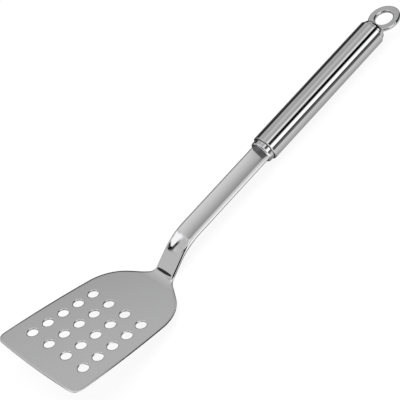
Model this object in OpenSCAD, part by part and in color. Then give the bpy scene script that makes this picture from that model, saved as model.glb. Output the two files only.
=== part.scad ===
// Perforated kitchen turner in stainless steel, in millimetres.
// +Y runs along the handle towards the hanging ring, +X across the blade, +Z up.
// The handle is level, and the heel touches the table.

/* [Blade] */
// Length from the heel to the middle of the front edge
blade_l = 101.6; // [90:0.1:120]
// Largest width, a little behind the front corners
blade_w = 77.6; // [70:0.1:96]
// Thickness of the rolled blade
blade_t = 1; // [0.6:0.1:1.6]
// Angle between the blade and the handle, in degrees
blade_angle = 17.6; // [8:0.1:26]
// Radius of the gently bowed front edge
front_bow_r = 580; // [300:10:1200]
// Radius of the two front corners
front_corner_r = 6; // [2:0.5:10]
// Radius of the bowed sides
side_bow_r = 620; // [400:10:1200]
// How far behind the front edge the blade is widest
widest_inset = 6.6; // [2:0.1:12]
// Radius of the two shoulders
shoulder_r = 30; // [14:1:32]
// Slope of the straight edges that run from the shoulders to the neck, in degrees
shoulder_slope = 32.2; // [24:0.1:38]
// Radius of the hollow between each sloping edge and the neck
neck_fillet_r = 7; // [4:0.5:9]

/* [Holes] */
// Diameter of the drain holes
hole_d = 6.8; // [4:0.1:8.4]
// Distance between hole centres along the blade
hole_pitch = 11.4; // [10:0.1:12]
// Distance from the front edge to the centres of the first holes
hole_inset = 18.5; // [12:0.1:22]
// Distance between the lengthwise rows, at the front holes
row_pitch = 16.4; // [12:0.1:18]
// How much closer the rows come with each step towards the heel
row_narrowing = 0.29; // [0:0.01:0.6]
// Number of holes along the blade
hole_columns = 5; // [3:1:6]
// Number of lengthwise rows
hole_rows = 4; // [2:1:4]
// Bevel around the upper rim of each hole
rim_bevel = 0.4; // [0.1:0.05:0.5]

/* [Neck and shaft] */
// Width of the shaft
shaft_w = 15.6; // [13:0.1:16]
// Width of the neck where it leaves the heel
neck_w = 16.2; // [16:0.1:17.5]
// Thickness of the forged neck
neck_t = 2.4; // [1.8:0.1:3]
// Thickness of the forged shaft
shaft_t = 3.3; // [2.6:0.1:3.8]
// Radius of the shallow trough pressed along the shaft
trough_r = 24; // [18:1:60]
// How far the middle of the trough lies below the handle's axis
trough_drop = 0.9; // [0.4:0.1:1.4]
// Length over which the trough deepens, from the start of the bend
trough_run = 16; // [12:0.5:20]
// Length of the straight shaft, from the bend to the ferrule
shaft_l = 76.3; // [55:0.1:100]
// How far the neck reaches along the handle's direction, from heel to bend
neck_run = 21.8; // [19:0.1:28]
// How far the heel lies below the handle's axis
heel_drop = 11.5; // [10.5:0.1:15]
// Radius of the heel, through the middle of the sheet
heel_r = 13; // [6:0.5:15]
// Radius of the bend at the shaft, through the middle of the sheet
bend_r = 45; // [35:1:52]
// Length over which the sheet thickens, from the heel upwards
swell_l = 11; // [8:0.5:16]
// Width of the tang that enters the handle
tang_w = 10; // [7:0.1:11]
// Length of the tang inside the handle
tang_l = 18; // [15:0.5:30]
// Thickness of the tang
tang_t = 1.6; // [1.2:0.1:1.7]

/* [Handle] */
// Outer diameter of the handle tube
tube_d = 18; // [17.8:0.1:22]
// Wall of the handle tube
tube_wall = 1.1; // [0.8:0.1:1.2]
// Length of the handle tube
tube_l = 107.3; // [80:0.1:140]
// Bevel on the two ends of the tube
tube_bevel = 0.5; // [0.2:0.05:0.6]
// How far the ferrule stands out of the tube
ferrule_out = 4.3; // [3:0.1:8]
// How deep the ferrule sits in the tube
ferrule_in = 9; // [6:0.5:12]
// Radius of the ferrule's front edge
ferrule_edge_r = 1.3; // [0.5:0.1:2]
// How far the end cap stands out of the tube
cap_out = 3.7; // [3.4:0.1:8]
// How deep the end cap sits in the tube
cap_in = 8; // [6:0.5:12]
// Radius of the end cap's rounded edge
cap_edge_r = 2; // [1:0.1:3]
// Thickness of the ferrule's and end cap's walls
plug_wall = 1.2; // [0.8:0.1:2]

/* [Hanging ring] */
// Outer diameter of the ring
ring_d = 21.8; // [20:0.1:26]
// Diameter of the hole in the ring
ring_hole_d = 12; // [8:0.1:13]
// Thickness of the ring
ring_t = 2.4; // [1.6:0.1:3.2]
// Radius of the ring's rounded edges
ring_edge_r = 0.7; // [0.3:0.05:0.75]
// How deep the ring sits in the end cap
ring_depth = 2; // [1.2:0.1:3]

/* [Fits] */
// Gap all round between the tube and the two plugs
plug_clearance = 0.05; // [0.02:0.01:0.15]
// Gap all round between the tang and its slot
tang_clearance = 0.1; // [0.05:0.01:0.25]
// Gap all round between the ring and its slot
ring_clearance = 0.05; // [0.02:0.01:0.2]

/* [Hidden] */

// Facets of a full circle, overrun of every cut, and steps of arcs and sections
$fn = 96;
cut = 1;
arc_steps = 10;
section_steps = 12;
// Overlap of two joined shapes, and how much slimmer the inner one is there
overlap = 1;
join_step = 0.02;

// Places along the handle's axis, from the front face of the ferrule
bend_y = -shaft_l;
heel_y = bend_y - neck_run;
tube_y = ferrule_out;
tube_end_y = tube_y + tube_l;
cap_end_y = tube_end_y + cap_out;
ring_y = cap_end_y + ring_d / 2 - ring_depth;
plug_d = tube_d - 2 * (tube_wall + plug_clearance);

// Directions of the sheet, as angles above +Y, and the turns between them
neck_angle = atan2(heel_drop, neck_run);
heel_turn = blade_angle + neck_angle;
heel_tangent = heel_r * tan(heel_turn / 2);
bend_tangent = bend_r * tan(neck_angle / 2);
neck_l = norm([neck_run, heel_drop]);

// Lengths along the middle of the sheet, from the start of the heel
heel_arc_l = heel_r * heel_turn * PI / 180;
neck_flat_l = neck_l - heel_tangent - bend_tangent;
bend_arc_l = bend_r * neck_angle * PI / 180;
bend_start = heel_arc_l + neck_flat_l;
shaft_start = bend_start + bend_arc_l;
shaft_end = shaft_start + shaft_l - bend_tangent;

function unit(v) = v / norm(v);
function smooth(t) = let (u = min(max(t, 0), 1)) u * u * (3 - 2 * u);
function along(angle) = [cos(angle), sin(angle)];
function across(angle) = [-sin(angle), cos(angle)];

// Points of a fillet of radius r at corner b of the path a, b, c
function fillet(a, b, c, r) =
    let (u = unit(a - b), w = unit(c - b), half = acos(u * w) / 2)
    let (middle = b + unit(u + w) * r / sin(half))
    let (p = b + u * r / tan(half) - middle, q = b + w * r / tan(half) - middle)
    let (from = atan2(p.y, p.x), turn = (atan2(q.y, q.x) - from + 540) % 360 - 180)
    [for (i = [0:arc_steps]) middle + r * along(from + turn * i / arc_steps)];

// Right half of the blade's outline: x across the blade, y forward from the heel
half_w = blade_w / 2;
half_shaft = shaft_w / 2;
half_neck = neck_w / 2;
widest_y = blade_l - widest_inset;
slope = tan(shoulder_slope);
neck_corner = [half_neck, 0];
neck_top = [half_shaft, -neck_l];
function front_at(x) = blade_l - front_bow_r + sqrt(pow(front_bow_r, 2) - x * x);
function side_at(y) = half_w - side_bow_r + sqrt(pow(side_bow_r, 2) - pow(y - widest_y, 2));
front_corner = [half_w, front_at(half_w)];
// Where the bowed side would meet the sloping edge, found in two steps
shoulder_guess_y = slope * (half_w - half_neck);
shoulder_y = slope * (side_at(shoulder_guess_y) - half_neck);
shoulder_corner = [side_at(shoulder_y), shoulder_y];
side_points = [for (i = [1:arc_steps]) let (y = widest_y + (shoulder_y - widest_y) * i / arc_steps)
    if (y > shoulder_y + shoulder_r * tan((90 - shoulder_slope) / 2)) [side_at(y), y]];
front_points = [for (i = [0:arc_steps]) let (x = half_w * i / arc_steps)
    if (x < half_w - 2 * front_corner_r) [x, front_at(x)]];
shoulder_arc = fillet(side_points[len(side_points) - 1], shoulder_corner, neck_corner, shoulder_r);
neck_arc = fillet(shoulder_corner, neck_corner, neck_top, neck_fillet_r);
blade_half = concat(
    front_points,
    fillet(front_points[len(front_points) - 1], front_corner, [half_w, widest_y], front_corner_r),
    side_points,
    shoulder_arc
);

// Half width of the sloping edges, the neck and the shaft at y forward of the heel
neck_widths = [for (p = concat(neck_arc, [neck_top])) [p.y, p.x]];
function neck_half(y) = y >= neck_arc[0].y ? half_neck + y / slope : lookup(y, neck_widths);

// Middle of the sheet at length l: place in Y and Z from the handle's axis, and angle
heel_point = [heel_y, -heel_drop];
heel_start = heel_point - heel_tangent * along(-blade_angle);
heel_centre = heel_start + heel_r * across(-blade_angle);
bend_centre = [bend_y + bend_tangent, -bend_r];
function sheet_angle(l) =
    l < 0 ? -blade_angle
    : l < heel_arc_l ? -blade_angle + heel_turn * l / heel_arc_l
    : l < bend_start ? neck_angle
    : l < shaft_start ? neck_angle * (shaft_start - l) / bend_arc_l
    : 0;
function sheet_point(l) = let (angle = sheet_angle(l))
    l < 0 ? heel_start + l * along(angle)
    : l < heel_arc_l ? heel_centre - heel_r * across(angle)
    : l < bend_start ? heel_centre - heel_r * across(angle) + (l - heel_arc_l) * along(angle)
    : l < shaft_start ? bend_centre + bend_r * across(angle)
    : [bend_y + bend_tangent + l - shaft_start, 0];

// The sheet thickens over the heel, and again in the bend while the trough deepens
function slimming(l) = join_step * (1 - smooth(l / swell_l));
function trough_share(l) = smooth((l - bend_start) / trough_run);
function trough_z(x) = trough_r - trough_drop - sqrt(pow(trough_r, 2) - x * x);
function sheet_t(l) = blade_t + (neck_t - blade_t) * smooth(l / swell_l)
    + (shaft_t - neck_t) * trough_share(l) - 2 * slimming(l);
function sheet_half(l) = neck_half(heel_tangent - l) - slimming(l);

// Outline of the sheet across the shaft, grown by gap all round
function section(half, t, share, gap) =
    let (xs = [for (i = [0:section_steps]) (half + gap) * (2 * i / section_steps - 1)])
    concat(
        [for (x = xs) [x, share * trough_z(x) - t / 2 - gap]],
        [for (i = [section_steps:-1:0]) [xs[i], share * trough_z(xs[i]) + t / 2 + gap]]
    );

// Lengths at which the neck and shaft get a section
heel_steps = 2 * arc_steps;
stations = concat(
    [-overlap],
    [for (i = [0:heel_steps]) heel_arc_l * i / heel_steps],
    [for (i = [1:arc_steps]) heel_arc_l + neck_flat_l * i / arc_steps],
    [for (i = [1:arc_steps]) bend_start + bend_arc_l * i / arc_steps],
    [shaft_end]
);
function sheet_section(l) =
    let (place = sheet_point(l), angle = sheet_angle(l))
    [for (p = section(sheet_half(l), sheet_t(l), trough_share(l), 0))
        [p.x, place.x - p.y * sin(angle), place.y + p.y * cos(angle)]];

// Height of the handle's axis over the table, and the middle of the part's length
floor_z = min([for (l = stations) min([for (p = sheet_section(l)) p.z])]);
front_y = heel_y - blade_l * cos(blade_angle) - blade_t / 2 * sin(blade_angle);
middle_y = (front_y + ring_y + ring_d / 2) / 2;

// Everything is built about the handle's axis and then set on the table
module on_table() {
    translate([0, -middle_y, -floor_z]) children();
}

// Turns a piece whose length runs along +Z so that it lies along the handle, from place y
module along_handle(y) {
    translate([0, y, 0]) rotate([-90, 0, 0]) children();
}

module drain_hole() {
    translate([0, 0, -blade_t / 2 - cut]) cylinder(h = blade_t + 2 * cut, d = hole_d);
    translate([0, 0, blade_t / 2 - rim_bevel])
        cylinder(h = 2 * rim_bevel, d1 = hole_d, d2 = hole_d + 4 * rim_bevel);
}

module drain_holes() {
    for (column = [0:hole_columns - 1], row = [0:hole_rows - 1])
        translate([
            (row - (hole_rows - 1) / 2) * (row_pitch - row_narrowing * column),
            blade_l - hole_inset - hole_pitch * column,
            0
        ]) drain_hole();
}

// Flat blade, drawn with y forward from the heel and its middle at z 0
module flat_blade() {
    right = concat(blade_half, [[neck_half(heel_tangent), heel_tangent]]);
    left = [for (i = [len(right) - 1:-1:1]) [-right[i].x, right[i].y]];
    difference() {
        translate([0, 0, -blade_t / 2]) linear_extrude(blade_t) polygon(concat(right, left));
        drain_holes();
    }
}

// Neck and shaft, one skin over all the sections
module neck_and_shaft() {
    count = 2 * (section_steps + 1);
    rings = len(stations);
    points = [for (l = stations) each sheet_section(l)];
    walls = [for (r = [0:rings - 2], i = [0:count - 1])
        let (a = r * count + i, b = r * count + (i + 1) % count)
        each [[a, b, b + count], [a, b + count, a + count]]];
    function end_faces(first, flip) = [for (i = [0:section_steps - 1])
        let (a = first + i, b = first + i + 1, c = first + count - 2 - i, d = first + count - 1 - i)
        each (flip ? [[a, c, b], [a, d, c]] : [[a, b, c], [a, c, d]])];
    polyhedron(points, concat(walls, end_faces(0, true), end_faces((rings - 1) * count, false)));
}

// Dished bar from a little inside the shaft, grown by gap all round
module tang(gap) {
    along_handle(-overlap) linear_extrude(overlap + tang_l + gap)
        mirror([0, 1, 0]) polygon(section(tang_w / 2, tang_t, 1, gap));
}

module blade() {
    color("silver") on_table() {
        translate([0, heel_y, -heel_drop]) rotate([-blade_angle, 0, 0]) mirror([0, 1, 0])
            flat_blade();
        neck_and_shaft();
        tang(0);
    }
}

// Half outline of a plug that is rounded at its outer end, length up from 0
module plug_half(length, edge_r) {
    radius = plug_d / 2;
    square([radius - edge_r, length]);
    translate([0, edge_r]) square([radius, length - edge_r]);
    translate([radius - edge_r, edge_r]) circle(edge_r);
}

// Round plug with a closed outer end and a hollow back
module plug(length, edge_r, front_wall) {
    difference() {
        rotate_extrude() intersection() {
            plug_half(length, edge_r);
            square([plug_d, length]);
        }
        translate([0, 0, front_wall]) cylinder(h = length, d = plug_d - 2 * plug_wall);
    }
}

module ferrule() {
    color("lightgray") on_table() difference() {
        along_handle(0) plug(ferrule_out + ferrule_in, ferrule_edge_r, ferrule_out);
        tang(tang_clearance);
    }
}

module handle_tube() {
    color("gainsboro") on_table() along_handle(tube_y) difference() {
        union() {
            cylinder(h = tube_bevel, d1 = tube_d - 2 * tube_bevel, d2 = tube_d);
            translate([0, 0, tube_bevel]) cylinder(h = tube_l - 2 * tube_bevel, d = tube_d);
            translate([0, 0, tube_l - tube_bevel])
                cylinder(h = tube_bevel, d1 = tube_d, d2 = tube_d - 2 * tube_bevel);
        }
        translate([0, 0, -cut]) cylinder(h = tube_l + 2 * cut, d = tube_d - 2 * tube_wall);
    }
}

module end_cap() {
    color("lightgray") on_table() difference() {
        translate([0, cap_end_y, 0]) rotate([90, 0, 0])
            plug(cap_out + cap_in, cap_edge_r, cap_out);
        translate([0, ring_y, -ring_t / 2 - ring_clearance])
            cylinder(h = ring_t + 2 * ring_clearance, d = ring_d + 2 * ring_clearance);
    }
}

// Half section of the ring, with rounded corners
module ring_half_section() {
    inner = ring_hole_d / 2;
    width = (ring_d - ring_hole_d) / 2;
    translate([inner, ring_edge_r - ring_t / 2]) square([width, ring_t - 2 * ring_edge_r]);
    translate([inner + ring_edge_r, -ring_t / 2]) square([width - 2 * ring_edge_r, ring_t]);
    for (x = [inner + ring_edge_r, inner + width - ring_edge_r], side = [-1, 1])
        translate([x, side * (ring_t / 2 - ring_edge_r)]) circle(ring_edge_r);
}

module hanging_ring() {
    color("silver") on_table() translate([0, ring_y, 0]) rotate_extrude() ring_half_section();
}

blade();
ferrule();
handle_tube();
end_cap();
hanging_ring();
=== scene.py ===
"""Perforated kitchen turner of polished stainless steel, dressed for a studio picture."""

import math

import bmesh
import bpy
import numpy as np
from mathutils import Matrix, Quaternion, Vector


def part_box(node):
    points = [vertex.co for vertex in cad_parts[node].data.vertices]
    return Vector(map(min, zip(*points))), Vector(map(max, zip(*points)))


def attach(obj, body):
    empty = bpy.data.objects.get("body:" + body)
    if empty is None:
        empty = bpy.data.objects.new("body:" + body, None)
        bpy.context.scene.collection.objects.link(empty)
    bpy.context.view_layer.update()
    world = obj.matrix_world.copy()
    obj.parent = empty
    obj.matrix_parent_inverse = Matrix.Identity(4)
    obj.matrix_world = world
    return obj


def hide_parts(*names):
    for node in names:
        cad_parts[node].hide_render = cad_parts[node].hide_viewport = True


bl_info = {
    "name": "Perforated kitchen turner",
    "version": (1, 0, 0),
    "blender": (4, 5, 0),
    "location": "3D View > Sidebar > Turner",
    "description": "Builds a stainless steel kitchen turner and its studio",
    "category": "Add Mesh",
}

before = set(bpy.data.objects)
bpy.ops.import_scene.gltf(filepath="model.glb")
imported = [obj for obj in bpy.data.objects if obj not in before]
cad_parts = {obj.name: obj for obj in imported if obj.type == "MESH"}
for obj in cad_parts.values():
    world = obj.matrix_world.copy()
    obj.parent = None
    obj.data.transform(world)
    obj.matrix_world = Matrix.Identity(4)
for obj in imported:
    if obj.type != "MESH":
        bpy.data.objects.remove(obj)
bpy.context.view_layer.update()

MM = 0.001
UP = Vector((0, 0, 1))

# The handle's axis lies along +Y at this height, and the collar starts at this place
COLLAR_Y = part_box("ferrule")[0][1]
AXIS_Z = (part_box("handle_tube")[0][2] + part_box("handle_tube")[1][2]) / 2


def setting(scale=None, kind=bpy.props.FloatProperty, **fixed):
    """A kind of setting, whose defaults are typed in a unit of this scale."""
    def named(name, value, description):
        default = value * scale if scale else value
        return kind(name=name, description=description, default=default, **fixed)

    return named


# Lengths are typed in millimetres and kept in metres, angles in degrees and kept in radians,
# and colours are in linear light
length = setting(MM, min=0.0, precision=5, unit="LENGTH", subtype="DISTANCE")
angle = setting(math.radians(1), precision=4, unit="ROTATION", subtype="ANGLE")
share = setting(min=0.0, max=1.0, precision=3, subtype="FACTOR")
brightness = setting(min=0.0)
power = setting(min=0.0, unit="POWER")
count = setting(kind=bpy.props.IntProperty, min=1, max=6)
spot = setting(kind=bpy.props.FloatVectorProperty, size=3, unit="LENGTH", subtype="TRANSLATION")
colour = setting(kind=bpy.props.FloatVectorProperty, min=0.0, max=1.0, size=3, subtype="COLOR")


class BladeSizes(bpy.types.PropertyGroup):
    """Sizes of the flat blade and its drain holes."""

    length: length("Length", 101.6, "From the heel to the middle of the front edge")
    width: length("Width", 77.6, "Largest width, a little behind the front corners")
    thickness: length("Thickness", 1.0, "Thickness of the rolled sheet")
    tilt: angle("Tilt", 17.6, "Angle between the blade and the handle")
    front_bow: length("Front bow", 580, "Radius of the bowed front edge")
    corner: length("Corner radius", 6, "Radius of the two front corners")
    side_bow: length("Side bow", 620, "Radius of the bowed sides")
    widest: length("Widest place", 6.6, "How far behind the front edge the blade is widest")
    shoulder: length("Shoulder radius", 30, "Radius of the two shoulders")
    slope: angle("Shoulder slope", 32.2, "Slope of the edges from the shoulders to the neck")
    hollow: length("Neck hollow", 7, "Radius of the hollow between each slope and the neck")
    hole: length("Hole diameter", 6.8, "Diameter of the drain holes")
    hole_pitch: length("Hole pitch", 11.4, "Distance between holes along the blade")
    hole_inset: length("First holes", 18.5, "From the front edge to the first hole centres")
    row_pitch: length("Row pitch", 16.4, "Distance between the rows at the first holes")
    narrowing: length("Row narrowing", 0.29, "How much closer the rows come with each hole")
    columns: count("Holes along", 5, "Number of holes along the blade")
    rim: length("Rim width", 0.7, "Width of the rounding of each hole's upper rim")
    rim_depth: length("Rim depth", 0.4, "Depth of the rounding of each hole's upper rim")
    rim_bottom: length("Lower rim", 0.15, "Rounding of each hole's lower rim")


class NeckSizes(bpy.types.PropertyGroup):
    """Sizes of the neck, the dished shaft and the tang."""

    width: length("Neck width", 16.2, "Width of the neck where it leaves the heel")
    shaft_width: length("Shaft width", 15.9, "Width of the shaft")
    thickness: length("Neck thickness", 2.4, "Thickness of the forged neck")
    shaft_thickness: length("Shaft thickness", 3.3, "Thickness of the forged shaft")
    trough: length("Trough radius", 24, "Radius of the shallow trough along the shaft")
    trough_drop: length("Trough drop", 0.9, "How far its middle lies below the handle's axis")
    trough_run: length("Trough run", 16, "Length over which the trough deepens in the bend")
    shaft: length("Shaft length", 76.3, "From the bend to the collar")
    run: length("Neck run", 21.8, "How far the neck reaches along the handle's direction")
    drop: length("Heel drop", 11.5, "How far the heel lies below the handle's axis")
    heel: length("Heel radius", 13, "Radius of the heel through the middle of the sheet")
    bend: length("Bend radius", 45, "Radius of the bend through the middle of the sheet")
    crown: length("Neck crown", 0.26, "Height of the slight crown across the neck's front")
    swell_start: length("Swell start", 4.6, "From the heel's start to the upper face's rise")
    swell: length("Swell", 4.9, "Length over which the upper face rises")
    under_swell: length("Lower swell", 11.3, "Length over which the lower face sinks")
    edge: length("Edge width", 1.6, "Width of the rounding along all edges of the sheet")
    edge_depth: length("Edge depth", 1.0, "Most depth of the rounding of the upper edges")
    tang_width: length("Tang width", 10, "Width of the tang inside the handle")
    tang_length: length("Tang length", 18, "Length of the tang inside the handle")
    tang_thickness: length("Tang thickness", 1.6, "Thickness of the tang")


class HandleSizes(bpy.types.PropertyGroup):
    """Sizes of the tube, its two plugs and the hanging ring."""

    tube: length("Tube diameter", 18, "Outer diameter of the handle tube")
    wall: length("Tube wall", 1.1, "Wall of the handle tube")
    tube_length: length("Tube length", 107.3, "Length of the handle tube")
    tube_edge: length("Tube edge", 0.45, "Rounding of the tube's two outer edges")
    plug: length("Plug diameter", 15.7, "Outer diameter of the collar and the end cap")
    plug_wall: length("Plug wall", 1.2, "Wall of the collar and the end cap")
    collar_out: length("Collar", 4.3, "How far the collar stands out of the tube")
    collar_in: length("Collar depth", 9, "How deep the collar sits in the tube")
    collar_edge: length("Collar edge", 1.3, "Rounding of the collar's front edge")
    cap_out: length("Cap", 3.7, "How far the end cap stands out of the tube")
    cap_in: length("Cap depth", 8, "How deep the end cap sits in the tube")
    cap_edge: length("Cap edge", 2.4, "Rounding of the end cap's edge")
    ring: length("Ring diameter", 21.8, "Outer diameter of the hanging ring")
    ring_hole: length("Ring hole", 12, "Diameter of the hole in the ring")
    ring_thickness: length("Ring thickness", 2.4, "Thickness of the ring")
    ring_edge: length("Ring edge", 1.0, "Rounding of the ring's edges")
    ring_depth: length("Ring depth", 2, "How deep the ring sits in the end cap")
    fit: length("Fit", 0.05, "Gap all round the ring and the tang in their slots")


class SteelLook(bpy.types.PropertyGroup):
    """Colours and polish of the steel."""

    blade_tint: colour("Blade", (0.74, 0.74, 0.75), "Colour of the satin blade")
    shaft_tint: colour("Shaft", (0.70, 0.70, 0.71), "Colour of the neck and shaft")
    handle_tint: colour("Handle", (0.70, 0.70, 0.71), "Colour of the polished handle")
    blade_roughness: share("Blade roughness", 0.13, "Roughness of the satin blade")
    shaft_roughness: share("Shaft roughness", 0.07, "Roughness of the neck and shaft")
    handle_roughness: share("Handle roughness", 0.05, "Roughness of the polished handle")
    # The front faces of the collar and the tube get a dark tint that is painted shade
    end_shade_tint: colour("Shaded ends", (0.16, 0.16, 0.165), "Dark tint painted on the front faces as shade")
    end_roughness: share("End face roughness", 0.35, "Roughness of the front faces")


class StudioLook(bpy.types.PropertyGroup):
    """Levels of the studio and the camera's place."""

    table_colour: colour("Table", (0.86, 0.86, 0.86), "Colour of the pale table")
    room_level: brightness("Room", 0.8, "Brightness of the room on matt surfaces")
    lamp_power: power("Lamp", 6.0, "Power of the soft lamp over the table")
    shadow: share("Shadow", 0.11, "How much of the table's brightness the shadow can take")
    view_from: spot("Camera place", (0.621090, -0.278305, 0.682593), "Where the camera stands")
    view_at: spot("Camera target", (-0.010758, -0.016590, 0.011215), "What it looks at")
    view_roll: angle("Camera roll", -31.061, "How far the camera leans about its own axis")
    view_angle: angle("Field of view", 14.718, "Width of the picture as an angle")


# ---- shapes as functions of two parameters


def join(*arrays, axis=0):
    """The arrays one after another."""
    return np.concatenate(arrays, axis)


def stacked(*parts):
    """Points with these coordinates, each repeated to the shape of all."""
    return np.stack(np.broadcast_arrays(*parts), -1)


# How finely the shapes are cut
ARC_POINTS = 400  # on each arc and each line of the sheet's outline
RIM_STEPS = 8  # round the sheet's and the holes' rounded edges
SWEEP_STEPS = (33, 32, 28, 32, 39)  # along the plain blade, the heel, neck, bend and shaft
SLOT_POINTS = 13  # across the slot for the tang
TURN_STEPS, TUBE_STEPS = 192, 256  # round the turned pieces, and round the tube

# Angles of a rounded edge: from straight up to straight out, and on to straight down
UPPER_TURN = np.linspace(np.pi / 2, 0, RIM_STEPS + 1)
LOWER_TURN = -UPPER_TURN[::-1]

HOLE_ROWS = 2  # lengthwise rows of holes on each half of the blade
CELL_START = -0.75 * np.pi  # direction of the corner where a cell's loop begins
CELL_SHARES = (1, 0.97, 0.66, 0.33, 0.06)  # a cell's rows, from its loop towards its hole
# A cell's points along each of its sides, as shares of the side, closer near its corners
SIDE_STEPS = join([0, 0.02], np.linspace(0.12, 0.88, 8), [0.98])

# Start and length of the neck's crown's rise, and end and length of its fall, in heel lengths
CROWN_RISE, CROWN_FALL = (0.62, 0.32), (1.8, 0.8)

LEAST_STEP = 1e-12  # keeps the lengths along the outline growing where points coincide
SHOULDER_STEP = 0.1 * MM  # from the shaft's end to the rows of points before and after it
HIDDEN_EDGE = 0.2 * MM  # rounding of the plugs' edges inside the handle
INNER_EDGE = 0.1 * MM  # rounding of the tube's inner edges
CUT_BEYOND = 1 * MM  # how far the cutter for the tang's slot reaches past both faces


def circle_points(centre, radius, start, end, number):
    """Arc: centre plus radius times (cos a, sin a), a running evenly from start to end.
    Gives the points and their outward directions."""
    a = np.linspace(start, end, number)
    out = stacked(np.cos(a), np.sin(a))
    return centre + radius * out, out


def smooth(t):
    """The curve 3t^2 - 2t^3 between 0 and 1."""
    u = np.clip(t, 0, 1)
    return u * u * (3 - 2 * u)


def bearing(v):
    """Angle of a plane vector above +x."""
    return math.atan2(v[1], v[0])


def circles_meet(c0, r0, c1, r1):
    """The point right of the line from c0 to c1, at distance r0 from c0 and r1 from c1."""
    d = np.linalg.norm(c1 - c0)
    u = (c1 - c0) / d
    along = (d * d + r0 * r0 - r1 * r1) / (2 * d)
    return c0 + along * u + math.sqrt(r0 * r0 - along * along) * np.array([u[1], -u[0]])


class Outline:
    """Right half of the sheet's outline, moved inwards by the edge rounding: arcs and straight
    lines that meet without a kink, from the middle of the front edge round the corner, the
    side, the shoulder and the hollow to the neck and the shaft."""

    def __init__(self, blade, neck):
        half = blade.width / 2
        front = np.array([0, blade.length - blade.front_bow])
        side = np.array([half - blade.side_bow, blade.length - blade.widest])
        corner = circles_meet(
            front, blade.front_bow - blade.corner, side, blade.side_bow - blade.corner)
        run = np.array([math.cos(blade.slope), math.sin(blade.slope)])
        inward = np.array([-run[1], run[0]])
        foot = np.array([neck.width / 2, 0])
        # The shoulder's centre lies on the line beside the slope, inside the side's bow
        start = foot + blade.shoulder * inward
        q = start - side
        t = -q @ run + math.sqrt((q @ run) ** 2 - q @ q + (blade.side_bow - blade.shoulder) ** 2)
        shoulder = start + t * run
        top = np.array([neck.shaft_width / 2, -math.hypot(neck.run, neck.drop)])
        down = (top - foot) / np.linalg.norm(top - foot)
        outward = np.array([-down[1], down[0]])
        # The hollow's centre is where the lines beside the slope and the neck meet
        lines = np.stack([run, -down], -1)
        t = np.linalg.solve(lines, blade.hollow * (outward + inward))[0]
        hollow = foot - blade.hollow * inward + t * run
        end = np.array([top[0], top[1] - neck.shaft - neck.tang_length])
        arcs = [
            (front, blade.front_bow, np.pi / 2, bearing(corner - front), 1),
            (corner, blade.corner, bearing(corner - front), bearing(corner - side), 1),
            (side, blade.side_bow, bearing(corner - side), bearing(shoulder - side), 1),
            (shoulder, blade.shoulder, bearing(shoulder - side), bearing(-inward), 1),
            (hollow, blade.hollow, bearing(inward), bearing(-outward) % (2 * np.pi), -1),
        ]
        points, normals = [], []
        for centre, radius, a0, a1, sign in arcs:
            p, n = circle_points(centre, radius, a0, a1, ARC_POINTS)
            points.append(p - neck.edge * sign * n)
            normals.append(sign * n)
        for a, b, n in ((points[-1][-1], top - neck.edge * outward, outward),
                        (top - neck.edge * np.array([1, 0]), end - [neck.edge, 0], (1, 0))):
            points.append(np.linspace(a, b, ARC_POINTS))
            normals.append(np.tile(n, (ARC_POINTS, 1)))
        self.p, self.n = join(*points), join(*normals)
        steps = np.linalg.norm(np.diff(self.p, axis=0), axis=1)
        order = np.arange(len(self.p))
        self.s = join([0], np.cumsum(steps)) + order * LEAST_STEP
        # The side begins in the middle of the corner, which is the second arc
        side_start = ARC_POINTS * 3 // 2
        self.corner_s = float(self.s[side_start])
        self.side = order >= side_start

    def at(self, s):
        """Points and outward directions at lengths s along the outline."""
        p, n = [stacked(*(np.interp(s, self.s, column) for column in known.T))
                for known in (self.p, self.n)]
        return p, n / np.linalg.norm(n, axis=-1, keepdims=True)

    def s_at_x(self, x):
        """Length along the front edge at which the outline is x from the middle."""
        front = ~self.side
        return np.interp(x, self.p[front, 0], self.s[front])

    def s_at_y(self, y):
        """Length along the side at which the outline is y forward of the heel."""
        return np.interp(-np.asarray(y), -self.p[self.side, 1], self.s[self.side])


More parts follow.
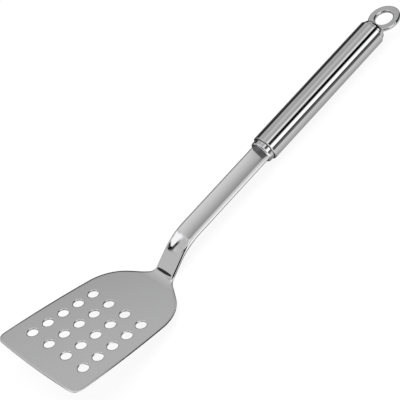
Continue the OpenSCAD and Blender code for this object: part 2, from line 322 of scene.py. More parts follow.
class Sheet:
    """The bent sheet. A point is x across, l along its middle from the start of the heel, and
    h above its middle. The middle runs straight along the blade, round the heel's arc,
    straight up the neck, round the bend's arc and straight along the shaft."""

    def __init__(self, blade, neck):
        self.blade, self.neck = blade, neck
        self.rise = math.atan2(neck.drop, neck.run)
        self.turn = blade.tilt + self.rise
        self.heel_tangent = neck.heel * math.tan(self.turn / 2)
        bend_tangent = neck.bend * math.tan(self.rise / 2)
        flat = math.hypot(neck.run, neck.drop) - self.heel_tangent - bend_tangent
        self.heel_l = neck.heel * self.turn
        self.bend_l = self.heel_l + flat
        self.shaft_l = self.bend_l + neck.bend * self.rise
        self.end_l = self.shaft_l + neck.shaft - bend_tangent

    def lean(self, l):
        """Angle of the sheet above the handle's direction at length l."""
        heel = -self.blade.tilt + self.turn * np.clip(l / self.heel_l, 0, 1)
        bend = self.rise * np.clip((l - self.bend_l) / (self.shaft_l - self.bend_l), 0, 1)
        return heel - bend

    def middle(self, l):
        """Place (y, z) of the sheet's middle: the integral of (cos, sin) of its lean, from
        the end of the shaft at the collar, worked out arc by arc."""
        def straight(l0, l1, a):
            """The part of l between l0 and l1, at lean a."""
            d = np.clip(l, l0, l1) - l1
            return stacked(d * math.cos(a), d * math.sin(a))

        def arc(l0, l1, a0, a1):
            """The part of l between l0 and l1, while the lean turns from a0 to a1."""
            r = (l1 - l0) / (a1 - a0)
            a = a0 + (a1 - a0) * np.clip((l - l0) / (l1 - l0), 0, 1)
            return stacked(r * (np.sin(a) - math.sin(a1)), r * (math.cos(a1) - np.cos(a)))

        return (
            stacked(np.maximum(l - self.end_l, 0), 0.0)
            + straight(self.shaft_l, self.end_l, 0.0)
            + arc(self.bend_l, self.shaft_l, self.rise, 0.0)
            + straight(self.heel_l, self.bend_l, self.rise)
            + arc(0.0, self.heel_l, -self.blade.tilt, self.rise)
            + straight(-math.inf, 0.0, -self.blade.tilt)
        )

    def crown(self, x, l):
        """Height and slope across of the slight crown where the thick neck begins: a parabola
        across the neck, times a share that rises and falls again along it."""
        half, heels = self.neck.width / 2, l / self.heel_l
        (start, rise), (end, fall) = CROWN_RISE, CROWN_FALL
        grown = self.neck.crown * smooth((heels - start) / rise) * smooth((end - heels) / fall)
        u = np.minimum(np.abs(x) / half, 1)
        return grown * (1 - u * u), -2 * grown * u * np.sign(x) * (u < 1) / half

    def pressed(self, l):
        """Share of the trough's depth at length l. It grows smoothly from the bend's start."""
        return smooth((l - self.bend_l) / self.neck.trough_run)

    def trough_root(self, x):
        """Depth below its centre of the trough's circle at x; past 45 degrees it is level."""
        r = self.neck.trough
        return np.sqrt(r * r - np.minimum(x * x, r * r / 2))

    def dish(self, x, l):
        """Height at x of the lowered circle's arc, times its share at l, and of the crown."""
        r, drop = self.neck.trough, self.neck.trough_drop
        trough = self.pressed(l) * (r - drop - self.trough_root(x))
        return trough + self.crown(x, l)[0]

    def dish_slope(self, x, l):
        """Slope of the trough and the crown across the sheet."""
        return self.pressed(l) * x / self.trough_root(x) + self.crown(x, l)[1]

    def half(self, l, side):
        """Height of the upper face (side 1) above the sheet's middle, or depth of the lower
        one (side -1) below it. Both grow round the heel, and again with the trough."""
        neck = self.neck
        flat, thick, shaft = self.blade.thickness, neck.thickness, neck.shaft_thickness
        if side > 0:
            grown = smooth((l - neck.swell_start) / neck.swell)
        else:
            grown = smooth(l / neck.under_swell)
        return (flat + (thick - flat) * grown + (shaft - thick) * self.pressed(l)) / 2

    def place(self, x, l, h):
        """The point in the frame: the middle's place, plus h and the dish square to it."""
        lean = self.lean(l)
        up = h + self.dish(x, l)
        yz = self.middle(l)
        return stacked(x, COLLAR_Y + yz[..., 0] - up * np.sin(lean),
                       AXIS_Z + yz[..., 1] + up * np.cos(lean))


def hole_cell(blade, loop, centre):
    """One hole's cell, as points on the blade and their heights: from the cell's loop over the
    upper face, through the hole, whose rims are quarters of an ellipse and a circle, and back
    over the lower face. Rows between loop and hole are straight mixes of both."""
    half_t, r = blade.thickness / 2, blade.hole / 2
    a = CELL_START + 2 * np.pi * np.arange(len(loop)) / len(loop)
    ray = stacked(np.cos(a), np.sin(a))
    mix = np.array(CELL_SHARES)[:, None, None]
    upper, lower = [loop * mix + (centre + (r + rim) * ray) * (1 - mix)
                    for rim in (blade.rim, blade.rim_bottom)]
    b = np.linspace(0, np.pi / 2, RIM_STEPS + 1)[:, None]
    rho = join(r + blade.rim * (1 - np.sin(b)), r + blade.rim_bottom * (1 - np.cos(b)))
    wall_h = join(half_t - blade.rim_depth * (1 - np.cos(b)),
                  -half_t + blade.rim_bottom * (1 - np.sin(b)))
    level = np.full((len(mix), 1), half_t)
    return (join(upper, centre + rho[:, :, None] * ray, lower[::-1]),
            join(level, wall_h, -level))


def perforated_cells(blade, neck, outline, sheet):
    """Right half of the blade's holes, one grid round each, and the rounded edge along them.
    Also gives where this part of the blade ends and the rows' pitch there."""
    first = blade.length - blade.hole_inset
    lines = first - blade.hole_pitch * (np.arange(blade.columns + 1) - 0.5)

    def pitch(y):
        """Distance between the lengthwise rows at y."""
        return blade.row_pitch - blade.narrowing * (first - y) / blade.hole_pitch

    side_s = join([outline.corner_s], outline.s_at_y(lines[1:]))
    front_s = [0.0, float(outline.s_at_x(pitch(blade.length))), outline.corner_s]

    def node(k, j):
        """The corner where cross line k and lengthwise line j of the cells meet."""
        if k == 0:
            return outline.at(front_s[j])[0]
        if j == HOLE_ROWS:
            return outline.at(side_s[k])[0]
        return np.array([j * pitch(lines[k]), lines[k]])

    def steps(a, b):
        """Lengths or points from a towards b."""
        return a + np.multiply.outer(SIDE_STEPS, b - a)

    def place(flat, h):
        return sheet.place(flat[..., 0], sheet.heel_tangent - flat[..., 1], h)

    grids = []
    for k in range(blade.columns):
        for j in range(HOLE_ROWS):
            low_left, low_right = node(k + 1, j), node(k + 1, j + 1)
            high_left, high_right = node(k, j), node(k, j + 1)
            right, top = steps(low_right, high_right), steps(high_right, high_left)
            if j == HOLE_ROWS - 1:
                right = outline.at(steps(side_s[k + 1], side_s[k]))[0]
            if k == 0:
                top = outline.at(steps(front_s[j + 1], front_s[j]))[0]
            loop = join(steps(low_left, low_right), right, top, steps(high_left, low_left))
            centre_y = first - blade.hole_pitch * k
            centre = np.array([(j + 0.5) * pitch(centre_y), centre_y])
            grids.append((place(*hole_cell(blade, loop, centre)), True))
    # The rounded edge along the front and the side starts at the cells' own outline points
    s = [steps(a, b) for marks in (front_s, side_s) for a, b in zip(marks, marks[1:])]
    p, n = outline.at(join(*s, side_s[-1:]))
    a = join(UPPER_TURN, LOWER_TURN)[:, None, None]
    rim = p + neck.edge * np.cos(a) * n
    grids.append((place(rim, blade.thickness / 2 * np.sin(a[..., 0])), False))
    return grids, lines[-1], pitch(lines[-1])


def swept_sheet(neck, outline, sheet, seam_y, seam_pitch):
    """Right half of the sheet behind the holes: its rounded cross-section carried along the
    sheet's middle, over the heel, the neck and the bend to the shaft's end and the tang."""
    stops = [sheet.heel_tangent - seam_y, 0, sheet.heel_l, sheet.bend_l, sheet.shaft_l,
             sheet.end_l - SHOULDER_STEP]
    l = join(*(np.linspace(a, b, steps, endpoint=False)
               for a, b, steps in zip(stops, stops[1:], SWEEP_STEPS)), [stops[-1], sheet.end_l])
    p, n = outline.at(outline.s_at_y(sheet.heel_tangent - l))
    # The tang is one more straight stretch with a smaller section
    tang = [sheet.end_l, sheet.end_l + SHOULDER_STEP, sheet.end_l + neck.tang_length]
    p = join(p, [[neck.tang_width / 2 - neck.edge, 0]] * len(tang))
    n = join(n, [[1, 0]] * len(tang))
    half_t = {side: join(sheet.half(l, side), [neck.tang_thickness / 2] * len(tang))[:, None]
              for side in (1, -1)}
    l = join(l, tang)
    slope = np.arctan(sheet.dish_slope(p[:, 0], l) * n[:, 0])[:, None]
    quarter = np.pi / 2

    def rounded(turns, side):
        """Part of an ellipse about the inset outline, its height set so that it meets the
        face. The lower one reaches the sheet's middle, the upper one no deeper than is set."""
        depth = half_t[side] if side < 0 else np.minimum(neck.edge_depth, half_t[side])
        a = turns * (quarter + slope * side) / quarter
        out = neck.edge * np.cos(a)
        start_x = p[:, :1] - neck.edge * np.sin(slope) * n[:, :1] * side
        start = sheet.dish(start_x, l[:, None]) + side * half_t[side]
        centre = start - side * depth * np.cos(slope)
        x = p[:, :1] + out * n[:, :1]
        ll = l[:, None] - out * n[:, 1:]
        return x, ll, centre + depth * np.sin(a) - sheet.dish(x, ll)

    top_edge, low_edge = rounded(UPPER_TURN[None], 1), rounded(LOWER_TURN[None], -1)
    inner = seam_pitch / p[0, 0]
    shares = join(inner * SIDE_STEPS, inner + (1 - inner) * SIDE_STEPS)

    def face(edge_x, side):
        """The face from the middle to the edge's first place, through the cells' points."""
        return np.broadcast_arrays(edge_x * shares, l[:, None], side * half_t[side])

    top, low = face(top_edge[0][:, :1], 1), face(low_edge[0][:, -1:], -1)
    grid = sheet.place(*(join(t, a, b, u[:, ::-1], axis=1)
                         for t, a, b, u in zip(top, top_edge, low_edge, low)))
    upper = len(shares) + len(UPPER_TURN)
    end = np.stack([grid[-1, :upper], grid[-1, :upper - 1:-1]])
    return [(grid, False), (end, False)]


def tang_slot(size, neck):
    """Cutter for the tang's slot: the tang's section with a gap all round, bent to the
    trough's arc like the tang, and carried through the collar's face."""
    half_w, half_t = neck.tang_width / 2 + size.fit, neck.tang_thickness / 2 + size.fit
    x = np.linspace(-half_w, half_w, SLOT_POINTS)
    dish = neck.trough - neck.trough_drop - np.sqrt(neck.trough ** 2 - x * x)
    loop = join(stacked(x, dish + half_t), stacked(x, dish - half_t)[::-1])
    ends = (COLLAR_Y - CUT_BEYOND, COLLAR_Y + size.collar_out + CUT_BEYOND)
    grid = np.stack([stacked(loop[:, 0], y, AXIS_Z + loop[:, 1]) for y in ends])
    lids = [(np.stack([g[:SLOT_POINTS], g[:SLOT_POINTS - 1:-1]]), False) for g in grid]
    return [(grid, True)] + lids


def rounded_profile(corners, arc_steps=8, pad=0.15 * MM):
    """Closed profile from corners (radius, place along, rounding): each corner becomes an arc
    that touches both its sides, with one more point just before and after it."""
    points = np.array([c[:2] for c in corners], float)
    made = []
    for here, behind, ahead, (_, _, r) in zip(
            points, np.roll(points, 1, 0), np.roll(points, -1, 0), corners):
        if r <= 0:
            made.append([here])
            continue
        before, after = [(p - here) / np.linalg.norm(p - here) for p in (behind, ahead)]
        half = math.acos(np.clip(before @ after, -1, 1)) / 2
        middle = (before + after) / np.linalg.norm(before + after)
        centre = here + middle * r / math.sin(half)
        a0, a1 = [here + way * r / math.tan(half) for way in (before, after)]
        start, end = bearing(a0 - centre), bearing(a1 - centre)
        turn = (end - start + np.pi) % (2 * np.pi) - np.pi
        arc, _ = circle_points(centre, r, start, start + turn, arc_steps + 1)
        made += [[a0 + before * pad], arc, [a1 + after * pad]]
    return join(*made)


def turned(profile, steps):
    """Surface of revolution: each profile point (radius, along) carried round the axis.
    Gives radius times sine, radius times cosine, and the place along the axis."""
    a = 2 * np.pi * np.arange(steps) / steps
    r, along = profile[:, :1], profile[:, 1:]
    return r * np.sin(a), r * np.cos(a), along


def along_handle(profile, steps=TURN_STEPS):
    """A turned piece whose axis is the handle's axis."""
    across, up, along = turned(profile, steps)
    return [(stacked(across, COLLAR_Y + along, AXIS_Z + up), True)]


def tube_end(size):
    """Where the tube ends along the handle, from the collar's face."""
    return size.collar_out + size.tube_length


def round_ring(size, outer, inner, half_t, edge):
    """A flat turned piece about the ring's upright axis, from inner to outer radius."""
    profile = [(inner, -half_t, edge), (outer, -half_t, edge),
               (outer, half_t, edge), (inner, half_t, edge)]
    across, along, up = turned(rounded_profile(profile), TURN_STEPS)
    centre = tube_end(size) + size.cap_out - size.ring_depth + size.ring / 2
    return [(stacked(across, COLLAR_Y + centre + along, AXIS_Z + up), True)]


# ---- meshes


SAME_POINT = 2e-7  # points closer than this are merged
NO_LENGTH = 1e-8  # edges shorter than this are dissolved
SHARP_ANGLE = math.radians(50)  # edges of the slots that turn by more stay sharp


def grid_faces(rows, columns, closed):
    """Quads of a grid; closed also joins the last column to the first."""
    i = np.arange(rows - 1)[:, None] * columns
    j = np.arange(columns if closed else columns - 1)[None]
    k = (j + 1) % columns
    return stacked(i + j, i + k, i + columns + k, i + columns + j).reshape(-1, 4)


def added(name, data):
    """A new object with this mesh, lamp or camera, in the scene."""
    made = bpy.data.objects.new(name, data)
    bpy.context.scene.collection.objects.link(made)
    return made


def surface(name, grids, loops_closed=False, mirrored=False):
    """One closed mesh object from grids of points, merged where they meet. A grid whose flag
    is set closes round its columns; loops_closed also joins its last row to its first."""
    points, faces, base = [], [], 0
    for grid, closed in grids:
        if loops_closed:
            grid = join(grid, grid[:1])
        rows, columns = grid.shape[:2]
        points.append(grid.reshape(-1, 3))
        faces.append(grid_faces(rows, columns, closed) + base)
        base += rows * columns
    points, faces = join(*points), join(*faces)
    if mirrored:
        points = join(points, points * [-1, 1, 1])
        faces = join(faces, faces[:, ::-1] + base)
    mesh = bpy.data.meshes.new(name)
    mesh.from_pydata(points, [], faces.tolist())
    work = bmesh.new()
    work.from_mesh(mesh)
    bmesh.ops.remove_doubles(work, verts=work.verts, dist=SAME_POINT)
    bmesh.ops.dissolve_degenerate(work, edges=work.edges, dist=NO_LENGTH)
    bmesh.ops.recalc_face_normals(work, faces=work.faces)
    work.to_mesh(mesh)
    work.free()
    mesh.shade_smooth()
    return added(name, mesh)


def cut_slot(piece, cutter):
    """Takes the cutter's shape out of the piece and deletes the cutter."""
    modifier = piece.modifiers.new("slot", "BOOLEAN")
    modifier.operation, modifier.solver, modifier.object = "DIFFERENCE", "EXACT", cutter
    graph = bpy.context.evaluated_depsgraph_get()
    mesh = bpy.data.meshes.new_from_object(piece.evaluated_get(graph))
    piece.modifiers.clear()
    piece.data = mesh
    bpy.data.objects.remove(cutter)
    mesh.shade_smooth()
    mesh.set_sharp_from_angle(angle=SHARP_ANGLE)


def check_closed(piece):
    """Raises an error unless every edge of the piece has exactly two faces."""
    work = bmesh.new()
    work.from_mesh(piece.data)
    open_edges = sum(not edge.is_manifold for edge in work.edges)
    volume = work.calc_volume(signed=True)
    work.free()
    if open_edges or volume <= 0:
        raise RuntimeError(f"{piece.name} has {open_edges} open edges, volume {volume}")


def belongs(piece, node, material):
    """Fixes a finished piece to the body, in place of its node, with its material."""
    check_closed(piece)
    piece.data.materials.append(material)
    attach(piece, "root")
    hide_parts(node)


# ---- materials


class Nodes:
    """Small helper that fills the node tree of a new material or world."""

    def __init__(self, owner):
        owner.use_nodes = True
        self.owner, self.tree = owner, owner.node_tree
        self.tree.nodes.clear()

    def shown(self, shader, output="ShaderNodeOutputMaterial"):
        """Links the shader to the output, and gives the finished material or world."""
        self.add(output, {"Surface": shader})
        return self.owner

    def add(self, kind, inputs=None, **settings):
        """A new node with its settings, and with values or links put into its inputs."""
        node = self.tree.nodes.new(kind)
        for key, value in settings.items():
            setattr(node, key, value)
        for key, value in (inputs or {}).items():
            self.put(value, node.inputs[key])
        return node

    def put(self, value, socket):
        """Links a node's output to the socket, or sets the socket to a plain value."""
        if isinstance(value, bpy.types.NodeSocket):
            self.tree.links.new(value, socket)
        else:
            socket.default_value = value

    def math(self, operation, *values):
        node = self.add("ShaderNodeMath", operation=operation)
        for socket, value in zip(node.inputs, values):
            self.put(value, socket)
        return node.outputs[0]

    def plus(self, a, b):
        return self.math("ADD", a, b)

    def minus(self, a, b):
        return self.math("SUBTRACT", a, b)

    def times(self, a, b):
        return self.math("MULTIPLY", a, b)

    def window(self, value, inner, outer):
        """1 where value is under inner, 0 where it is over outer, smooth between."""
        return self.add("ShaderNodeMapRange", {
            "Value": value, "From Min": inner, "From Max": outer, "To Min": 1.0, "To Max": 0.0,
        }, interpolation_type="SMOOTHSTEP").outputs["Result"]

    def between(self, fac, low, high):
        """Low where fac is 0, high where it is 1."""
        return self.plus(self.times(fac, high - low), low)

    def mixed(self, fac, low, high):
        """A colour between two, each a fixed colour or a node's output."""
        node = self.add("ShaderNodeMix", {0: fac}, data_type="RGBA")
        ends = [socket for socket in node.inputs if socket.type == "RGBA"]
        for socket, value in zip(ends, (low, high)):
            self.put(value, socket)
        return [socket for socket in node.outputs if socket.type == "RGBA"][0]

    def either(self, fac, first, second):
        """The first shader where fac is 0, the second where it is 1."""
        return self.add("ShaderNodeMixShader", {0: fac, 1: first, 2: second}).outputs[0]

    def place(self):
        """The three Object coordinates."""
        place = self.add("ShaderNodeTexCoord").outputs["Object"]
        return self.add("ShaderNodeSeparateXYZ", {0: place}).outputs


# How the hairlines' noise is stretched and how much of it shows in bump, and how much the
# smudges change the roughness
FORGED = {"grain": (1800, 40, 1800), "hairline": 0.008, "smudge": 0.2}
POLISHED = {"grain": (1500, 30, 1500), "hairline": 0.03, "smudge": 0.25}
LINE_DETAIL, LINE_DEPTH = 3.0, 0.01 * MM
LINE_ROUGHNESS = 0.15  # how much the hairlines change the roughness
SMUDGE_SCALE, SMUDGE_DETAIL = 28.0, 2.5
STREAK_SHADES = (0.92, 1.08)  # darkest and palest tint, as shares of the plain one
SATIN_FADE = (-6 * MM, 3 * MM)  # where the blade's satin fades, from the heel's start
SHADE_FADE_SHARE = 1 / 6  # share of an end's rounding over which the front face's painted shade gives way to the polished steel


def steel(name, tint, roughness, grain, hairline, smudge, satin=None):
    """Stainless steel. Hairlines from the polishing wheel run along the turner as stretched
    noise, in bump and roughness; broad faint smudges change roughness and tint. Satin holds
    another tint and roughness, and the two places along Y between which they give way; for
    the blade it is its satin, and for the handle's front faces a dark tint painted as shade."""
    make = Nodes(bpy.data.materials.new(name))
    place = make.add("ShaderNodeTexCoord").outputs["Object"]
    stretched = make.add("ShaderNodeMapping", {"Scale": grain, "Vector": place}).outputs[0]
    lines = make.add("ShaderNodeTexNoise", {
        "Scale": 1.0, "Detail": LINE_DETAIL, "Vector": stretched}).outputs[0]
    broad = make.add("ShaderNodeTexNoise", {
        "Scale": SMUDGE_SCALE, "Detail": SMUDGE_DETAIL, "Vector": place}).outputs[0]
    streaks = make.times(make.plus(broad, lines), 0.5)

    def tinted(base):
        """The tint with its streaks."""
        return make.mixed(
            streaks, *[(*(shade * c for c in base), 1) for shade in STREAK_SHADES])

    plain, tone = roughness, tinted(tint)
    # The other finish is the blade's satin; on the handle's front faces it is a dark tint
    # painted as shade
    if satin:
        satin_and_shade_tint, satin_roughness, start, end = satin
        along = make.add("ShaderNodeSeparateXYZ", {0: place}).outputs[1]
        satin_and_shade_blend = make.window(along, start, end)
        plain = make.between(satin_and_shade_blend, roughness, satin_roughness)
        tone = make.mixed(satin_and_shade_blend, tone, tinted(satin_and_shade_tint))
    vary = make.plus(make.between(broad, 1 - smudge, 1 + smudge),
                     make.between(lines, -LINE_ROUGHNESS, LINE_ROUGHNESS))
    bump = make.add("ShaderNodeBump", {
        "Strength": hairline, "Distance": LINE_DEPTH, "Height": lines})
    shader = make.add("ShaderNodeBsdfPrincipled", {
        "Metallic": 1.0, "Base Color": tone, "Roughness": make.times(vary, plain),
        "Normal": bump.outputs[0]})
    return make.shown(shader.outputs[0])


def handle_steel(name, look, satin_and_shade_blend=None):
    """The polished steel of the handle's pieces, made once for each name, with a dark tint
    painted as shade on a front face where that is given.
    """
    return bpy.data.materials.get(name) or steel(
        name, look.handle_tint, look.handle_roughness, **POLISHED, satin=satin_and_shade_blend)


def painted_shade_face(look, front, edge):
    """A front face with a dark tint painted as shade, which gives way to the polished steel as
    its rounding begins.
    """
    return look.end_shade_tint, look.end_roughness, front, front + edge * SHADE_FADE_SHARE


# ---- studio


# A tube-shaped tent round the handle's line, for reflections only
TENT_RADIUS = 0.9
TENT_ENDS = (-6.0, 30.0)
TENT_STEPS = (96, 36)  # round it and along it
TENT_LEVEL = 0.50

# Its panels, of which later ones cover earlier ones. Each has the angle of its middle from
# straight up towards +X and its half width, both in degrees, and its softness there; its
# middle, half length and softness along Y in metres; how far it leans, in degrees for each
# metre along Y; and its level.
WHOLE = (12.0, 21.0, 1.0, 0)
BESIDE_SHAFT = (-3.170, 3.5, 0.008, 0)
BELOW_NECK = (-3.505, 3.5, 0.03, 0)
PANELS = {
    "overhead softbox": (-10, 9, 10, *WHOLE, 0.68),
    "upper side light": (27.5, 6.5, 9, *WHOLE, 1.05),
    "camera side flag": (46.3, 10, 6.5, *WHOLE, 0.0),
    "camera end flag": (43, 7, 6.5, 0.72, 0.28, 0.3, 0, 0.0),
    "low side light": (72, 11.5, 5.5, *WHOLE, 1.45),
    "right horizon flag": (105, 19.5, 5, *WHOLE, 0.0),
    "left horizon flag": (-101, 39.5, 9, *WHOLE, 0.03),
    "far end flag": (47, 72, 12, 15.63, 15.03, 0.06, 0, 0.01),
    "blade card": (-49, 5, 10, 0.475, 0.175, 0.08, 0, 0.59),
    "shaft card": (-33, 38, 4, *BESIDE_SHAFT, 0.37),
    "shaft softbox": (0, 44, 72, *BESIDE_SHAFT, 0.89),
    "shaft side light": (90, 50, 14, *BESIDE_SHAFT, 1.25),
    "neck card": (-50, 55, 6, *BELOW_NECK, 0.66),
    "bend flag": (-23, 18, 0.8, -0.253, 0.163, 0.082, -3, 0.01),
    "bend softbox": (-33, 3.3, 5.8, -0.1825, 0.1475, 0.029, 32, 1.43),
    "bend middle light": (-28.8, 6.6, 14.1, -0.153, 0.139, 0.015, -45.6, 1.33),
    "bend upper light": (-24.5, 12.1, 14.5, -0.192, 0.136, 0.048, 42, 1.31),
    "bend side flag": (-40.1, 1.8, 0.8, -0.293, 0.143, 0.015, 17, 0.0),
    "bend line": (-40, 42, 6, -0.012, 0.015, 0.019, 0, 0.78),
    "neck front flag": (-60, 26, 3, -0.8875, 0.3125, 0.02, -60, 0.04),
    "neck side flag": (45, 47, 8, -0.80, 0.55, 0.05, 0, 0.02),
}


# The patch of painted light on the table that polished metal sees, as values beside the handle,
# the shaft and the blade; its dark left part, under and beside the handle, is painted shade.
# Its edges, and the step from its dark left to its bright right part, are places
# across in metres, and each has how far from there its softness begins and ends.
SHAFT_FADE, BLADE_FADE = (0.034, 0.040), (-0.075, -0.035)
PATCH_RIGHT, RIGHT_SOFT = (0.042, 0.242, 0.284), (-0.006, 0.010)
PATCH_LEFT, LEFT_SOFT = (-0.010, -0.010, -0.040), (-0.004, 0.004)
PATCH_STEP, STEP_SOFT = (0.010, 0.016, 0.036), (-0.016, 0.008)
STEP_SHARPNESS = (1.0, 2.5, 2.5)
BRIGHT_LEVEL, DARK_LEVEL = (0.62, 1.2, 1.2), (0.30, 0.2, 0.2)

TABLE_HALF = 0.35
LAMP_SIZE, LAMP_PLACE = 0.9, (0.15, -0.1, 1.1)
CAMERA_CLIP = (0.01, 20.0)


def tent_material(name):
    """Light of the tent: its plain level, covered panel by panel by each panel's level."""
    make = Nodes(bpy.data.materials.new(name))
    x, y, z = make.place()
    turn = make.math("DEGREES", make.math("ARCTAN2", x, make.minus(z, AXIS_Z)))

    def within(off, half, soft):
        """1 inside the half width, 0 outside it, with a soft edge."""
        return make.window(make.math("ABSOLUTE", off), half - soft / 2, half + soft / 2)

    level = TENT_LEVEL
    for middle, half, soft, along, half_along, soft_along, lean, strength in PANELS.values():
        forward = make.minus(y, along)
        # The angle from the panel's middle line, wrapped to the nearer way round
        off = make.minus(make.minus(turn, middle), make.times(forward, lean))
        cover = make.times(within(make.math("WRAP", off, 180.0, -180.0), half, soft),
                           within(forward, half_along, soft_along))
        level = make.plus(level, make.times(cover, make.minus(strength, level)))
    return make.shown(make.add("ShaderNodeEmission", {"Strength": level}).outputs[0])


def table_material(name, tint, shadow):
    """Pale table. The camera sees it white with the object's soft shadow, and polished metal
    sees a patch of painted light under the object, with painted shade on its left, that fades
    out on both sides."""
    make = Nodes(bpy.data.materials.new(name))
    x, y, _ = make.place()
    by_shaft, by_blade = make.window(y, *SHAFT_FADE), make.window(y, *BLADE_FADE)

    def along(handle, shaft, blade):
        """The value beside the handle, which turns into the shaft's and then the blade's."""
        return make.plus(
            make.between(by_shaft, handle, shaft), make.times(by_blade, blade - shaft))

    step = make.times(make.minus(along(*PATCH_STEP), x), along(*STEP_SHARPNESS))
    bright = make.window(step, *STEP_SOFT)
    patch = make.plus(make.times(bright, along(*BRIGHT_LEVEL)),
                      make.times(make.minus(1.0, bright), along(*DARK_LEVEL)))
    edges = make.times(make.window(make.minus(x, along(*PATCH_RIGHT)), *RIGHT_SOFT),
                       make.window(make.minus(along(*PATCH_LEFT), x), *LEFT_SOFT))

    light = make.add("ShaderNodeLightPath").outputs
    camera, glossy = light["Is Camera Ray"], light["Is Glossy Ray"]
    matt = make.add("ShaderNodeBsdfDiffuse", {"Color": (*tint, 1)})
    faint = make.add("ShaderNodeBsdfDiffuse", {"Color": (shadow, shadow, shadow, 1)})
    # Metal sees the patch as painted light, and its dark left part as painted shade
    white = make.add("ShaderNodeEmission", {"Strength": make.plus(
        make.times(camera, 1.0 - shadow), make.times(glossy, make.times(patch, edges)))})
    seen = make.add("ShaderNodeAddShader", {0: faint.outputs[0], 1: white.outputs[0]})
    return make.shown(make.either(
        make.math("MAXIMUM", camera, glossy), matt.outputs[0], seen.outputs[0]))


def room_light(level):
    """World with a plain level, and white where the camera, metal and glass see it."""
    make = Nodes(bpy.data.worlds.new("room"))
    plain, white = [
        make.add("ShaderNodeBackground", {"Color": (1, 1, 1, 1), "Strength": value}).outputs[0]
        for value in (level, 1.0)]
    light = make.add("ShaderNodeLightPath").outputs
    seen = make.math("MAXIMUM", light["Is Transmission Ray"], make.math(
        "MAXIMUM", light["Is Camera Ray"], light["Is Glossy Ray"]))
    return make.shown(make.either(seen, plain, white), "ShaderNodeOutputWorld")


def aimed(name, data, place, target, roll=0.0):
    """A lamp or camera that looks from its place at its target, turned about its own axis."""
    holder = added(name, data)
    holder.location = place
    holder.rotation_mode = "QUATERNION"
    sight = Vector(target) - Vector(place)
    holder.rotation_quaternion = sight.to_track_quat("-Z", "Y") @ Quaternion(UP, roll)
    return holder


def stage_mesh(name, grid, closed, material):
    """A stage object from one grid of points."""
    mesh = bpy.data.meshes.new(name)
    rows, columns = grid.shape[:2]
    mesh.from_pydata(grid.reshape(-1, 3), [], grid_faces(rows, columns, closed).tolist())
    mesh.materials.append(material)
    made = added(name, mesh)
    return made


# ---- operators


class TURNER_OT_blade(bpy.types.Operator):
    """Build the perforated blade with its neck, shaft and tang"""

    bl_idname = "turner.blade"
    bl_label = "Blade and shaft"

    def execute(self, context):
        scene = context.scene
        blade, neck, look = scene.turner_blade, scene.turner_neck, scene.turner_steel
        outline, sheet = Outline(blade, neck), Sheet(blade, neck)
        cells, seam_y, seam_pitch = perforated_cells(blade, neck, outline, sheet)
        swept = swept_sheet(neck, outline, sheet, seam_y, seam_pitch)
        piece = surface("blade_and_shaft", cells + swept, mirrored=True)
        # The satin of the blade turns into polish round the start of the heel
        heel_y = COLLAR_Y + float(sheet.middle(0.0)[0])
        satin = (look.blade_tint, look.blade_roughness, *(heel_y + off for off in SATIN_FADE))
        belongs(piece, "blade", steel(
            "forged steel", look.shaft_tint, look.shaft_roughness, **FORGED, satin=satin))
        return {"FINISHED"}


class TURNER_OT_collar(bpy.types.Operator):
    """Build the collar that closes the handle's lower end"""

    bl_idname = "turner.collar"
    bl_label = "Collar"

    def execute(self, context):
        scene = context.scene
        size, neck, look = scene.turner_handle, scene.turner_neck, scene.turner_steel
        r, end = size.plug / 2, size.collar_out + size.collar_in
        hollow = r - size.plug_wall
        profile = rounded_profile([
            (0, 0, 0), (r, 0, size.collar_edge), (r, end, HIDDEN_EDGE),
            (hollow, end, HIDDEN_EDGE), (hollow, size.collar_out, HIDDEN_EDGE),
            (0, size.collar_out, 0)])
        piece = surface("collar", along_handle(profile))
        cut_slot(piece, surface("collar_slot", tang_slot(size, neck)))
        # The collar's front face gets a dark tint painted as shade
        satin_and_shade_blend = painted_shade_face(look, COLLAR_Y, size.collar_edge)
        belongs(piece, "ferrule", handle_steel("collar steel", look, satin_and_shade_blend))
        return {"FINISHED"}


class TURNER_OT_tube(bpy.types.Operator):
    """Build the handle tube"""

    bl_idname = "turner.tube"
    bl_label = "Handle tube"

    def execute(self, context):
        size, look = context.scene.turner_handle, context.scene.turner_steel
        r, start = size.tube / 2, size.collar_out
        end, inner = tube_end(size), r - size.wall
        profile = rounded_profile([
            (r, start, size.tube_edge), (r, end, size.tube_edge),
            (inner, end, INNER_EDGE), (inner, start, INNER_EDGE)])
        piece = surface("tube", along_handle(profile, TUBE_STEPS), loops_closed=True)
        # The tube's front face gets a dark tint painted as shade
        satin_and_shade_blend = painted_shade_face(look, COLLAR_Y + start, size.tube_edge)
        belongs(piece, "handle_tube", handle_steel("tube steel", look, satin_and_shade_blend))
        return {"FINISHED"}


class TURNER_OT_cap(bpy.types.Operator):
    """Build the end cap with the slot that holds the ring"""

    bl_idname = "turner.cap"
    bl_label = "End cap"

    def execute(self, context):
        size, look = context.scene.turner_handle, context.scene.turner_steel
        r, start = size.plug / 2, tube_end(size)
        hollow, back, out = r - size.plug_wall, start - size.cap_in, start + size.cap_out
        profile = rounded_profile([
            (0, start, 0), (hollow, start, HIDDEN_EDGE),
            (hollow, back, HIDDEN_EDGE), (r, back, HIDDEN_EDGE), (r, out, size.cap_edge),
            (0, out, 0)], arc_steps=14)
        piece = surface("cap", along_handle(profile))
        cut_slot(piece, surface("cap_slot", round_ring(
            size, size.ring / 2 + size.fit, 0.0, size.ring_thickness / 2 + size.fit, 0.0)))
        belongs(piece, "end_cap", handle_steel("polished steel", look))
        return {"FINISHED"}


class TURNER_OT_ring(bpy.types.Operator):
    """Build the hanging ring"""

    bl_idname = "turner.ring"
    bl_label = "Hanging ring"

    def execute(self, context):
        size, look = context.scene.turner_handle, context.scene.turner_steel
        piece = surface("ring", round_ring(
            size, size.ring / 2, size.ring_hole / 2, size.ring_thickness / 2, size.ring_edge),
            loops_closed=True)
        belongs(piece, "hanging_ring", handle_steel("polished steel", look))
        return {"FINISHED"}


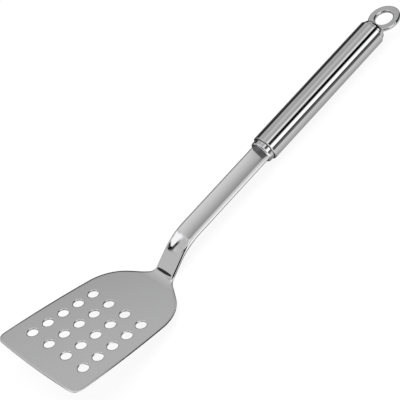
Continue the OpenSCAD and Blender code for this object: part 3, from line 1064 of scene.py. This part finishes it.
class TURNER_OT_studio(bpy.types.Operator):
    """Set up the table, the light tent, the lamp, the room and the camera"""

    bl_idname = "turner.studio"
    bl_label = "Studio"

    def execute(self, context):
        scene, look = context.scene, context.scene.turner_studio
        scene.view_settings.view_transform = "Standard"

        side = np.linspace(-TABLE_HALF, TABLE_HALF, 2)
        stage_mesh("table", stacked(side[None], side[:, None], 0.0), False,
                   table_material("table", look.table_colour, look.shadow))

        around, along = TENT_STEPS
        a = np.linspace(-np.pi, np.pi, around, endpoint=False)[None]
        y = np.linspace(*TENT_ENDS, along + 1)[:, None]
        grid = stacked(TENT_RADIUS * np.sin(a), y, AXIS_Z + TENT_RADIUS * np.cos(a))
        tent = stage_mesh("light_tent", grid, True, tent_material("light tent"))
        tent.visible_camera = tent.visible_diffuse = tent.visible_shadow = False
        tent.visible_transmission = tent.visible_volume_scatter = False

        lamp = bpy.data.lights.new("soft_lamp", "AREA")
        lamp.shape, lamp.size, lamp.energy = "DISK", LAMP_SIZE, look.lamp_power
        aimed("soft_lamp", lamp, LAMP_PLACE, (0, 0, 0)).visible_glossy = False
        scene.world = room_light(look.room_level)

        data = bpy.data.cameras.new("camera")
        data.angle = look.view_angle
        data.clip_start, data.clip_end = CAMERA_CLIP
        scene.camera = aimed("camera", data, look.view_from, look.view_at, look.view_roll)
        return {"FINISHED"}


class TURNER_PT_panel(bpy.types.Panel):
    """Sidebar panel that lists the sizes, looks and steps of the turner"""

    bl_label = "Kitchen turner"
    bl_idname = "TURNER_PT_panel"
    bl_space_type = "VIEW_3D"
    bl_region_type = "UI"
    bl_category = "Turner"

    def draw(self, context):
        for step in STEPS:
            self.layout.operator(step.bl_idname)
        for name in GROUPS:
            group = getattr(context.scene, name)
            box = self.layout.box()
            box.label(text=type(group).__doc__)
            for key in group.__annotations__:
                box.prop(group, key)


GROUPS = {
    "turner_blade": BladeSizes,
    "turner_neck": NeckSizes,
    "turner_handle": HandleSizes,
    "turner_steel": SteelLook,
    "turner_studio": StudioLook,
}
STEPS = [
    TURNER_OT_blade, TURNER_OT_collar, TURNER_OT_tube, TURNER_OT_cap, TURNER_OT_ring,
    TURNER_OT_studio,
]
CLASSES = [*GROUPS.values(), *STEPS, TURNER_PT_panel]


def register():
    for made in CLASSES:
        bpy.utils.register_class(made)
    for name, group in GROUPS.items():
        setattr(bpy.types.Scene, name, bpy.props.PointerProperty(type=group))


def unregister():
    for name in GROUPS:
        delattr(bpy.types.Scene, name)
    for made in reversed(CLASSES):
        bpy.utils.unregister_class(made)


def main():
    register()
    bpy.ops.turner.blade()
    bpy.ops.turner.collar()
    bpy.ops.turner.tube()
    bpy.ops.turner.cap()
    bpy.ops.turner.ring()
    bpy.ops.turner.studio()


if __name__ == "__main__":
    main()
